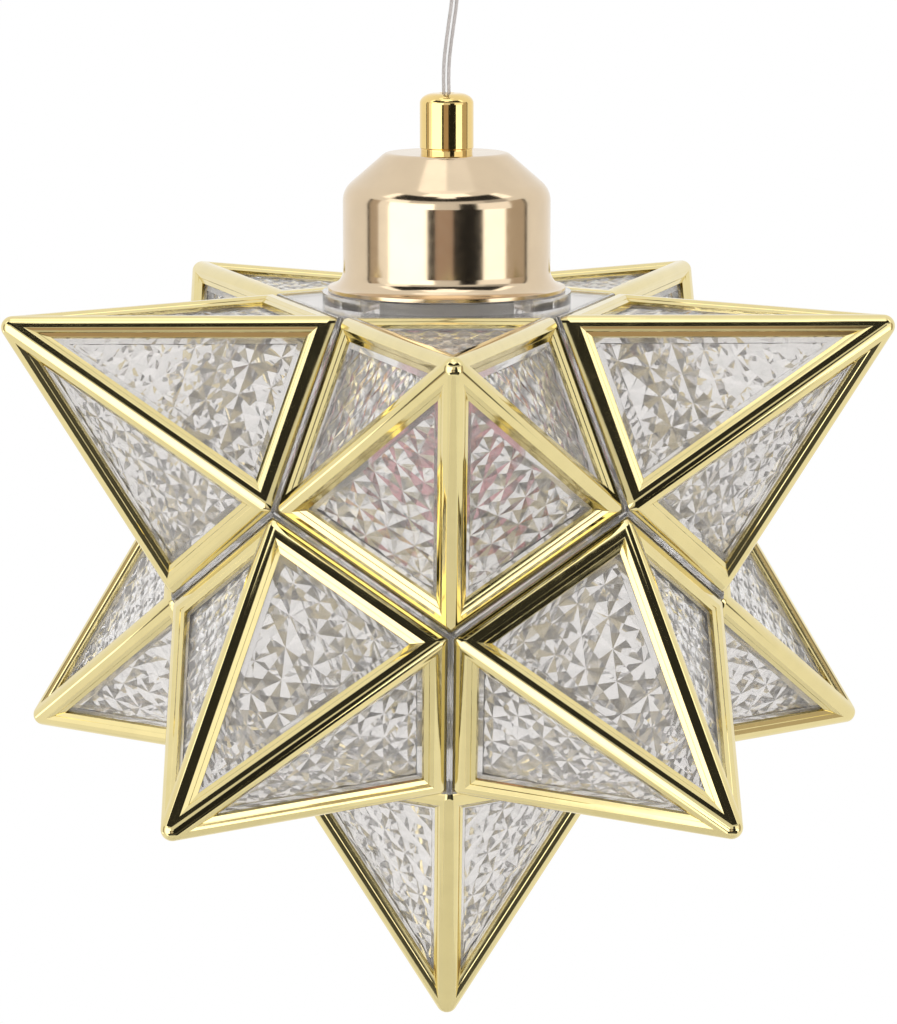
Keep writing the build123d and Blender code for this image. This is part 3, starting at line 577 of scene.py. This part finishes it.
    def add_tip(self, draft: MeshDraft, crown: Ring) -> None:
        """Add the rounded tip over the ring of the five ridges' arcs."""
        shape = self.shape
        tip = Vector((0, 0, shape.core_tip))
        up = Vector((0, 0, 1))
        ring = crown
        for level in range(1, self.tip_rings):
            share = level / self.tip_rings
            following = [tip + (corner - tip).slerp(up, share) * shape.rounding for corner in crown]
            draft.strip(ring, following, closed=True)
            ring = following
        draft.fan(ring, Vector((0, 0, shape.blunt_tip)))

    def build(self) -> bpy.types.Mesh:
        """Make the mesh of one frame in its point's own place.

        Returns:
            The frame's mesh.
        """
        draft = MeshDraft()
        crown = []
        for side in range(SIDES):
            crown += self.add_side(draft, side)
        self.add_tip(draft, crown)
        return draft.mesh("gold_frame", self.smooth_below)


@dataclass(frozen=True)
class CrystalPoint:
    """Hollow clear point whose faces carry a pressed lattice of twelve-rayed stars."""

    shape: StarShape
    wall: float = 2.2 * MM
    pitch: float = 9.2 * MM
    first_star: tuple = (-4.0 * MM, 12.2 * MM)      # across and rise of one star's middle
    spare_stars: int = 3            # rows of stars tried past the face's reach
    border: float = 7.2 * MM        # inset of the pressed field from the gold's sharp edges
    peak: float = 0.05 * MM         # depth of a star's middle below the smooth margin
    saddle: float = 0.55 * MM       # depth midway between two neighbouring stars
    hollow: float = 1.05 * MM       # depth in the middle of three stars
    clearance: float = 0.02 * MM    # under the gold frame and between two points
    rib_depth: float = 0.25 * MM
    rib_rounding: float = 0.15 * MM

    def facets(self) -> list[Ring]:
        """Facets of the pressed stars over one whole face.

        Returns:
            Triangles of (across, rise, depth) in metres.
        """
        half, _, apex = self.shape.window(self.border)
        first = Vector((1.0, 0.0)) * self.pitch
        second = Vector((cos(pi / 3), sin(pi / 3))) * self.pitch
        origin = Vector(self.first_star)
        reach = int((apex + half) / self.pitch) + self.spare_stars
        steps = range(-reach, reach + 1)
        found = []
        for along in steps:
            for up in steps:
                found += self.star(origin + first * along + second * up, first, second)
        return found

    def star(self, centre: Vector, first: Vector, second: Vector) -> list[Ring]:
        """Twelve facets of one star: each runs from its middle to a saddle and a hollow."""
        rays = [first, second, second - first, -first, -second, first - second]
        middle = Vector((*centre, self.peak))
        found = []
        for index, ray in enumerate(rays):
            following = rays[(index + 1) % len(rays)]
            low = Vector((*(centre + (ray + following) / 3), self.hollow))
            for neighbour in (ray, following):
                saddle = Vector((*(centre + neighbour / 2), self.saddle))
                found.append([middle, saddle, low])
        return found

    def field_sides(self) -> list[tuple[Vector, Vector]]:
        """Sides of the pressed field as (corner, inward direction) pairs."""
        half, foot, apex = self.shape.window(self.border)
        corners = [Vector((-half, foot)), Vector((half, foot)), Vector((0.0, apex))]
        sides = []
        for index, corner in enumerate(corners):
            along = (corners[(index + 1) % len(corners)] - corner).normalized()
            sides.append((corner, Vector((-along.y, along.x))))
        return sides

    def clip(self, facet: Ring, corner: Vector, inward: Vector) -> Ring:
        """Part of a facet on the inner side of a line."""
        kept = []
        for index, point in enumerate(facet):
            before = facet[index - 1]
            here = (point.xy - corner).dot(inward)
            there = (before.xy - corner).dot(inward)
            if (here > 0) != (there > 0):
                kept.append(before.lerp(point, there / (there - here)))
            if here > 0:
                kept.append(point)
        return kept

    def field(self) -> tuple[list[Ring], list[Ring]]:
        """Pressed field of one face, cut to its outline.

        Returns:
            Its facets, and its corners along each of its three sides, as (across, rise, depth).
        """
        sides = self.field_sides()
        rims: list[dict] = [{} for _ in sides]
        kept = []
        for facet in self.facets():
            for corner, inward in sides:
                facet = self.clip(facet, corner, inward)
            if not facet:
                continue
            kept.append(facet)
            for rim, (corner, inward) in zip(rims, sides):
                along = Vector((inward.y, -inward.x))
                for point in facet:
                    if abs((point.xy - corner).dot(inward)) < MERGE_GAP:
                        rim[round((point.xy - corner).dot(along), MERGE_DIGITS)] = point
        return kept, [[rim[place] for place in sorted(rim)] for rim in rims]

    def add_face(self, draft: MeshDraft, side: int, facets: list[Ring], rims: list[Ring]) -> None:
        """Add one outer slant face: pressed field, its small wall and the smooth margin.

        Args:
            draft: where the faces go.
            side: which of the five faces.
            facets: facets of the pressed field.
            rims: corners along each side of the field.
        """
        shape = self.shape
        level = shape.frame_depth + self.clearance
        for facet in facets:
            draft.polygon([shape.on_face(side, p.x, p.y, level + p.z) for p in facet])
        foot = shape.cone_ring(level, shape.seam_half - self.clearance)
        outer = [foot[side], foot[(side + 1) % SIDES], shape.cone_tip(level)]
        for index, row in enumerate(rims):
            low = [shape.on_face(side, p.x, p.y, level + p.z) for p in row]
            high = [shape.on_face(side, p.x, p.y, level) for p in row]
            draft.strip(low, high)
            draft.polygon([outer[index], outer[(index + 1) % len(outer)]] + high[::-1])

    def build(self) -> bpy.types.Mesh:
        """Make the mesh of one clear point in its own place.

        Returns:
            The point's mesh.
        """
        shape = self.shape
        draft = MeshDraft()
        facets, rims = self.field()
        for side in range(SIDES):
            self.add_face(draft, side, facets, rims)
        edge = shape.seam_half - self.clearance
        inner = shape.frame_depth + self.wall
        rows = [
            shape.cone_ring(shape.frame_depth + self.clearance, edge),
            shape.cone_ring(self.rib_depth + self.rib_rounding, edge),
            shape.cone_ring(self.rib_depth, edge - self.rib_rounding),
            shape.cone_ring(self.rib_depth, self.clearance),
            shape.cone_ring(inner, self.clearance),
        ]
        for above, below in zip(rows, rows[1:]):
            draft.strip(above, below, closed=True)
        draft.fan(rows[-1], shape.cone_tip(inner))
        return draft.mesh("crystal_point")


class StarShade:
    """Eleven points, their gold frames and the clear top plate."""

    tip_node = "frame_bottom"
    ring_tilt = atan(0.5)       # how far a ring's points aim above or below level, in radians

    def __init__(self) -> None:
        """Take the star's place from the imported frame."""
        self.shape = StarShape()
        self.centre = Vector((0, 0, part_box(self.tip_node)[0].z + self.shape.blunt_tip))

    def places(self) -> dict[str, Matrix]:
        """Place of each point by its name.

        Returns:
            Point name to the matrix of its own frame.
        """
        rings = {
            1: ("upper_front", "upper_right", "upper_rear_right", "upper_rear_left", "upper_left"),
            -1: ("lower_front_right", "lower_right", "lower_rear", "lower_left", "lower_front_left"),
        }
        found = {}
        for ring, names in rings.items():
            for index, name in enumerate(names):
                turn = (index + (0 if ring == 1 else 0.5)) * 2 * pi / SIDES
                level = Vector((sin(turn), -cos(turn), 0))
                up = Vector((0, 0, ring))
                corner = level * sin(self.ring_tilt) - up * cos(self.ring_tilt)
                outwards = level * cos(self.ring_tilt) + up * sin(self.ring_tilt)
                found[name] = self.matrix(corner, outwards)
        found["bottom"] = self.matrix(Vector((0, -1, 0)), Vector((0, 0, -1)))
        return found

    def matrix(self, corner: Vector, outwards: Vector) -> Matrix:
        """Matrix of a point's frame from the direction of one base corner and of its tip."""
        turned = Matrix((corner, outwards.cross(corner), outwards)).transposed().to_4x4()
        return Matrix.Translation(self.centre) @ turned

    def build(self) -> None:
        """Make and place all points and dress the top plate."""
        parts = (
            ("gold_frame_", GoldFrame(self.shape).build(), GOLD_FRAME, "frame_"),
            ("clear_point_", CrystalPoint(self.shape).build(), CRYSTAL, "crystal_"),
        )
        for name, matrix in self.places().items():
            for title, pattern, finish, node in parts:
                mesh = pattern.copy()
                mesh.transform(matrix)
                piece = place_piece(title + name, mesh, finish, Body.SHADE)
                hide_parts(node + name)
        dress(CLEAR_PLATE, "top_plate")


# ------------------------------------------------------------------ cord, cup and fittings
class FreeCord:
    """Thin clear two-core cord from the canopy's bush down to the cord grip."""

    radius = 1.25 * MM
    strand_radius = 0.42 * MM
    strand_reach = 0.62 * MM
    strand_slope = 0.25         # how far the pair of strands is turned towards the back
    strand_corners = 8
    strand_smooth_below = 60.0
    length = 0.0553
    curve_order = 3
    path_steps = 24
    round_steps = 8
    # x, y and the distance below the upper pivot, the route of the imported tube
    route = [
        (0.0, 0.0, 0.0),
        (0.15 * MM, 0.0, 6.0 * MM),
        (1.9 * MM, 0.15 * MM, 15.0 * MM),
        (2.6 * MM, 0.2 * MM, 25.0 * MM),
        (0.8 * MM, 0.1 * MM, 37.0 * MM),
        (-0.4 * MM, 0.0, 47.5 * MM),
        (0.0, 0.0, 55.0 * MM),
    ]

    def __init__(self) -> None:
        """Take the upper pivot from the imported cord."""
        self.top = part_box("cord_free_run")[1].z - self.radius

    def curve(self, name: str, bevel: float) -> bpy.types.Curve:
        """Smooth line of the cord as a curve, with or without thickness."""
        data = bpy.data.curves.new(name, "CURVE")
        data.dimensions = "3D"
        data.resolution_u = self.path_steps
        spline = data.splines.new("NURBS")
        spline.points.add(len(self.route) - 1)
        for point, (x, y, drop) in zip(spline.points, self.route):
            point.co = (x, y, self.top - drop, 1.0)
        spline.order_u = self.curve_order
        spline.use_endpoint_u = True
        data.bevel_depth = bevel
        data.bevel_resolution = self.round_steps
        data.use_fill_caps = True
        return data

    def centreline(self) -> Ring:
        """Points along the cord's smooth line."""
        holder = bpy.data.objects.new("cord_line", self.curve("cord_line", 0.0))
        mesh = bpy.data.meshes.new_from_object(holder)
        points = [v.co.copy() for v in mesh.vertices]
        bpy.data.objects.remove(holder)
        return points

    def strand(self, name: str, side: int) -> bpy.types.Object:
        """One conductor of fine wires inside the sheath."""
        line = self.centreline()
        draft = MeshDraft()
        rows = []
        for index, point in enumerate(line):
            along = (line[min(index + 1, len(line) - 1)] - line[max(index - 1, 0)]).normalized()
            across = Vector((side, self.strand_slope * side, 0))
            across = (across - along * across.dot(along)).normalized()
            depth = along.cross(across)
            centre = point + across * self.strand_reach
            row = []
            for k in range(self.strand_corners):
                angle = 2 * pi * k / self.strand_corners
                row.append(centre + (across * cos(angle) + depth * sin(angle)) * self.strand_radius)
            rows.append(row)
        for above, below in zip(rows, rows[1:]):
            draft.strip(above, below, closed=True)
        draft.polygon(rows[0][::-1])
        draft.polygon(rows[-1])
        return place_piece(name, draft.mesh(name, self.strand_smooth_below), STRAND, Body.CORD)

    def build(self) -> None:
        sheath = place_piece("clear_cord", self.curve("clear_cord", self.radius), CORD_SHEATH, Body.CORD)
        strands = [self.strand("cord_strand_left", -1), self.strand("cord_strand_right", 1)]
        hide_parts("cord_free_run")


class CupAndGrip:
    """Turned cup with its domed cord grip and what is screwed inside."""

    def build(self) -> None:
        """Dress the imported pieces."""
        dress(CHAMPAGNE, "socket_cup")
        dress(GRIP_GOLD, "cord_grip")
        dress(STEEL, "threaded_nipple", "cup_washer", "cup_locknut", "neck_clips")
        dress(CORD_SHEATH, "inner_cord", "holder_wires")


class Lampholder:
    """Lampholder and the bulb in it."""

    def build(self) -> None:
        """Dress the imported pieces."""
        dress(WHITE_PLASTIC, "holder_cap", "holder_skirt", "contact_insert")
        dress(CONTACT, "screw_shell", "centre_contact", "side_contact", "bulb_contact")
        dress(STEEL, "contact_screws")
        dress(BLACK_PLASTIC, "bulb_insulator")
        dress(CAP_METAL, "bulb_screw_cap")
        dress(BULB_GLASS, "bulb_glass", "lamp_stem")
        dress(PHOSPHOR, "lamp_filaments")


class CeilingCanopy:
    """Ceiling fitting above the picture."""

    unmirrored = ("mounting_bracket", "canopy_cover", "canopy_screws", "outlet_bush", "bush_locknut")

    def build(self) -> None:
        """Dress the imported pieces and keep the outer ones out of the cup's reflections."""
        dress(STEEL, "mounting_bracket", "canopy_screws", "bush_locknut", "block_screws")
        dress(CHAMPAGNE, "canopy_cover")
        dress(GRIP_GOLD, "outlet_bush")
        dress(WHITE_PLASTIC, "terminal_block")
        dress(CORD_SHEATH, "canopy_cord", "canopy_wires")
        for node in self.unmirrored:
            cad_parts[node].visible_glossy = False


# ------------------------------------------------------------------ studio
@dataclass(frozen=True)
class StudioCamera:
    """Camera of the product picture, fitted to the star's corners."""

    distance: float = 1.1812
    elevation: float = 9.892
    azimuth: float = -0.8
    focal_pixels: float = 4037.9
    picture_height: int = 1024
    sensor: float = 36.0
    aim_right: float = 0.52 * MM
    aim_up: float = 4.68 * MM

    def build(self, centre: Vector) -> None:
        """Make the camera and look at the star.

        Args:
            centre: the star's centre.
        """
        turn, rise = radians(self.azimuth), radians(self.elevation)
        back = Vector((sin(turn) * cos(rise), -cos(turn) * cos(rise), sin(rise)))
        right = Vector((cos(turn), sin(turn), 0))
        up = back.cross(right)
        place = centre + back * self.distance
        target = centre + right * self.aim_right + up * self.aim_up
        data = bpy.data.cameras.new("studio_camera")
        data.sensor_width = self.sensor
        data.lens = self.focal_pixels * self.sensor / self.picture_height
        camera = bpy.data.objects.new("studio_camera", data)
        camera.location = place
        camera.rotation_mode = "QUATERNION"
        camera.rotation_quaternion = (target - place).to_track_quat("-Z", "Y")
        bpy.context.scene.collection.objects.link(camera)
        bpy.context.scene.camera = camera


COPPER = (0.45, 0.33, 0.26)
TAN = (0.55, 0.47, 0.38)


class Studio:
    """White surroundings with two tall softboxes, dark flags and an overhead box."""

    # each row starts at an elevation; each strip starts at an azimuth to the camera's right
    rows = (
        (-90, ((-180, 0.9),)),
        (-49, ((-180, 1.0), (-64, 1.9), (-44, 0.08), (48, 0.02), (66, 1.0))),
        (-28, ((-180, 1.0), (-115, 2.2), (-99, 0.06), (-95, TAN), (-82, 1.2), (-68, 2.4), (-22, 0.03),
               (-14, COPPER), (8, 0.02), (58, 2.2), (75, TAN), (96, 0.05), (100, 1.0))),
        (-20, ((-180, 1.0), (-99, 0.06), (-95, TAN), (-82, 1.2), (-68, 2.4), (-22, 0.03),
               (-14, 0.62), (14, 0.02), (41, 2.4), (75, TAN), (96, 0.05), (100, 1.0))),
        (-11.5, ((-180, 1.0), (-99, 0.06), (-95, TAN), (-82, 1.2), (-68, 2.4), (-22, 0.03),
                 (-13, COPPER), (7, 0.02), (40, 2.0), (68, TAN), (96, 0.05), (100, 1.0))),
        (-2, ((-180, 1.0), (-99, 0.06), (-95, TAN), (-82, 1.2), (-68, 2.4),
              (-14, 0.85), (14, 0.02), (34, 1.3), (75, TAN), (96, 0.05), (100, 1.0))),
        (21, ((-180, 1.0), (-76, 1.6), (-45, 0.8), (45, 0.5), (75, 1.0))),
        (33, ((-180, 1.0), (-88, 1.8), (-73, 0.03), (73, 1.8), (88, 1.0))),
        (48.5, ((-180, 1.0), (-88, 1.8), (-73, 0.03), (-13, 1.9), (13, 0.03), (73, 1.8), (88, 1.0))),
        (56, ((-180, 1.0), (-42, 1.9), (42, 1.0))),
        (72, ((-180, 1.7),)),
    )
    edge_width = 0.8        # degrees over which one strip or row runs into the next
    warmth = (1.0, 0.985, 0.96)
    white = (1.0, 1.0, 1.0, 1.0)        # the plain background, also seen through glass
    floor_level = -0.95
    floor_radius = 0.5
    floor_corners = 96
    floor_colour = (0.86, 0.86, 0.85, 1.0)
    floor_roughness = 0.8
    floor_whitening = 0.7       # share of plain white in the floor as the camera sees it

    def strip_colour(self, value: float | Colour) -> Colour:
        """Colour of a strip given as a colour or as a level of the boxes' white."""
        return value if isinstance(value, tuple) else tuple(value * part for part in self.warmth)

    def around(self, graph: Graph, turn: bpy.types.NodeSocket, strips: tuple) -> bpy.types.NodeSocket:
        """Paint one row of strips round the star.

        Args:
            graph: the world's nodes.
            turn: azimuth from 0 to 1.
            strips: (start azimuth, level or colour) pairs in order.

        Returns:
            The row's colour socket.
        """
        stops = []
        for index, (start, value) in enumerate(strips):
            if index:
                before = self.strip_colour(strips[index - 1][1])
                stops.append(((start - self.edge_width + 180) / 360, before))
            stops.append(((start + 180) / 360, self.strip_colour(value)))
        return graph.ramp(turn, stops)

    def world(self) -> None:
        """Paint the surroundings by direction."""
        world = bpy.data.worlds.new("studio")
        bpy.context.scene.world = world
        world.use_nodes = True
        graph = Graph(world.node_tree)
        direction = graph.add("TexCoord").outputs["Generated"]
        axes = graph.add("SeparateXYZ", {"Vector": direction}).outputs
        forwards = graph.math("MULTIPLY", axes["Y"], -1.0)
        azimuth = graph.math("ARCTAN2", axes["X"], forwards)
        turn = graph.math("MULTIPLY_ADD", azimuth, 1 / (2 * pi), 0.5)
        elevation = graph.math("ARCSINE", axes["Z"])
        colour = self.around(graph, turn, self.rows[0][1])
        for start, strips in self.rows[1:]:
            above = graph.smooth_step(elevation, radians(start), radians(start + self.edge_width))
            colour = graph.mix(above, colour, self.around(graph, turn, strips))
        path = graph.add("LightPath").outputs
        seen = graph.math("MAXIMUM", path["Is Camera Ray"], path["Is Transmission Ray"])
        colour = graph.mix(seen, colour, self.white)
        background = graph.add("Background", {"Color": colour, "Strength": 1.0})
        graph.add("OutputWorld", {"Surface": background.outputs["Background"]})

    def floor(self) -> None:
        """Make the plain pale floor."""
        material = bpy.data.materials.new("pale_floor")
        material.use_nodes = True
        graph = Graph(material.node_tree)
        surface = {"Base Color": self.floor_colour, "Roughness": self.floor_roughness}
        plain = graph.add("BsdfPrincipled", surface)
        bright = graph.add("Emission", {"Color": self.white, "Strength": 1.0})
        seen = graph.add("LightPath").outputs["Is Camera Ray"]
        share = graph.math("MULTIPLY", seen, self.floor_whitening)
        mixed = graph.add("MixShader", {0: share, 1: plain.outputs[0], 2: bright.outputs[0]})
        graph.add("OutputMaterial", {"Surface": mixed.outputs[0]})
        mesh = bpy.data.meshes.new("studio_floor")
        work = bmesh.new()
        bmesh.ops.create_circle(
            work, cap_ends=True, segments=self.floor_corners, radius=self.floor_radius,
        )
        work.to_mesh(mesh)
        work.free()
        mesh.materials.append(material)
        floor = bpy.data.objects.new("studio_floor", mesh)
        floor.location = (0, 0, self.floor_level)
        bpy.context.scene.collection.objects.link(floor)

    def build(self) -> None:
        """Make the world and the floor and set the plain view."""
        self.world()
        self.floor()
        bpy.context.scene.view_settings.view_transform = "Standard"


def main() -> None:
    """Build the camera, the cord, the studio and each sub-assembly in order."""
    logging.basicConfig(level=logging.INFO)
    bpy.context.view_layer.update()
    shade = StarShade()
    StudioCamera().build(shade.centre)
    FreeCord().build()
    Studio().build()
    shade.build()
    for assembly in (CupAndGrip(), Lampholder(), CeilingCanopy()):
        assembly.build()


if __name__ == "__main__":
    main()
